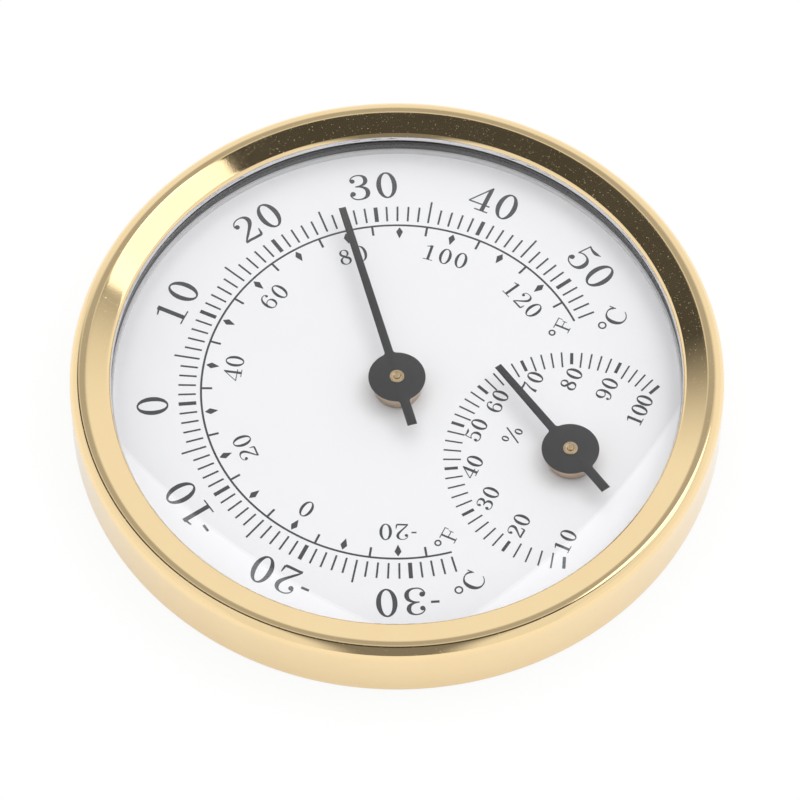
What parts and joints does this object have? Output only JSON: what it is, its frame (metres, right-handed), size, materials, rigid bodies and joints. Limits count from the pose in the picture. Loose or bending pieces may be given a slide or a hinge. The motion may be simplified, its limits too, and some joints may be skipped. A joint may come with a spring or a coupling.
{
  "type": "dial thermometer and hygrometer",
  "caption": "Round gold-rimmed dial gauge with a domed lens: a temperature hand on a coil over a wide scale and a small humidity hand on its own coil.",
  "frame": {"origin": "centre of the back face, where the instrument lies on a surface", "axes": "+Z out of the dial towards the viewer, +Y towards the dial's 12 o'clock, +X to the dial's right"},
  "size_m": [0.061, 0.061, 0.0072],
  "materials": {
    "gold_case": "polished gold-anodised aluminium",
    "clear_lens": "clear polished acrylic dome",
    "gasket_rubber": "matt black rubber",
    "spacer_plastic": "satin dark grey plastic",
    "dial_paint": "satin white enamel with printed scales",
    "cover_plastic": "fine-grained black plastic",
    "turned_brass": "bright turned brass",
    "spring_steel": "rolled spring steel",
    "temp_strip": "rolled bimetal strip, tan",
    "humidity_strip": "coated humidity strip, tan",
    "pointer_paint": "matt charcoal lacquer",
    "dial_ink": "charcoal screen ink of the printed scales"
  },
  "bodies": {
    "case": {"bezel": "gold_case", "lens": "clear_lens", "lens_gasket": "gasket_rubber", "spacer_ring": "spacer_plastic", "dial_plate": "dial_paint", "rear_cover": "cover_plastic", "temp_bush": "turned_brass", "humidity_bush": "turned_brass"},
    "temp_spindle": {"temp_post": "turned_brass", "temp_friction_washer": "spring_steel", "temp_retainer": "spring_steel"},
    "temp_hand": {"temp_pointer": "pointer_paint", "temp_collar": "turned_brass", "temp_coil": "temp_strip", "temp_coil_clip": "turned_brass"},
    "humidity_spindle": {"humidity_post": "turned_brass", "humidity_friction_washer": "spring_steel", "humidity_retainer": "spring_steel"},
    "humidity_hand": {"humidity_pointer": "pointer_paint", "humidity_collar": "turned_brass", "humidity_coil": "humidity_strip", "humidity_coil_clip": "turned_brass"}
  },
  "joints": [
    {"name": "temp_calibration", "type": "hinge", "parent": "case", "child": "temp_spindle", "pos_m": [0, 0, 0.0028], "axis": [0, 0, 1], "range_deg": [-10, 10]},
    {"name": "temp_pointer_turn", "type": "hinge", "parent": "temp_spindle", "child": "temp_hand", "pos_m": [0, 0, 0.005], "axis": [0, 0, 1], "range_deg": [-81.5, 179.3], "stiffness_Nm_per_rad": 0.00002, "deforming": ["temp_coil"]},
    {"name": "humidity_calibration", "type": "hinge", "parent": "case", "child": "humidity_spindle", "pos_m": [0, -0.0178, 0.0028], "axis": [0, 0, 1], "range_deg": [-4, 4]},
    {"name": "humidity_pointer_turn", "type": "hinge", "parent": "humidity_spindle", "child": "humidity_hand", "pos_m": [0, -0.0178, 0.005], "axis": [0, 0, 1], "range_deg": [-82.6, 140.1], "stiffness_Nm_per_rad": 0.00002, "deforming": ["humidity_coil"]}
  ]
}
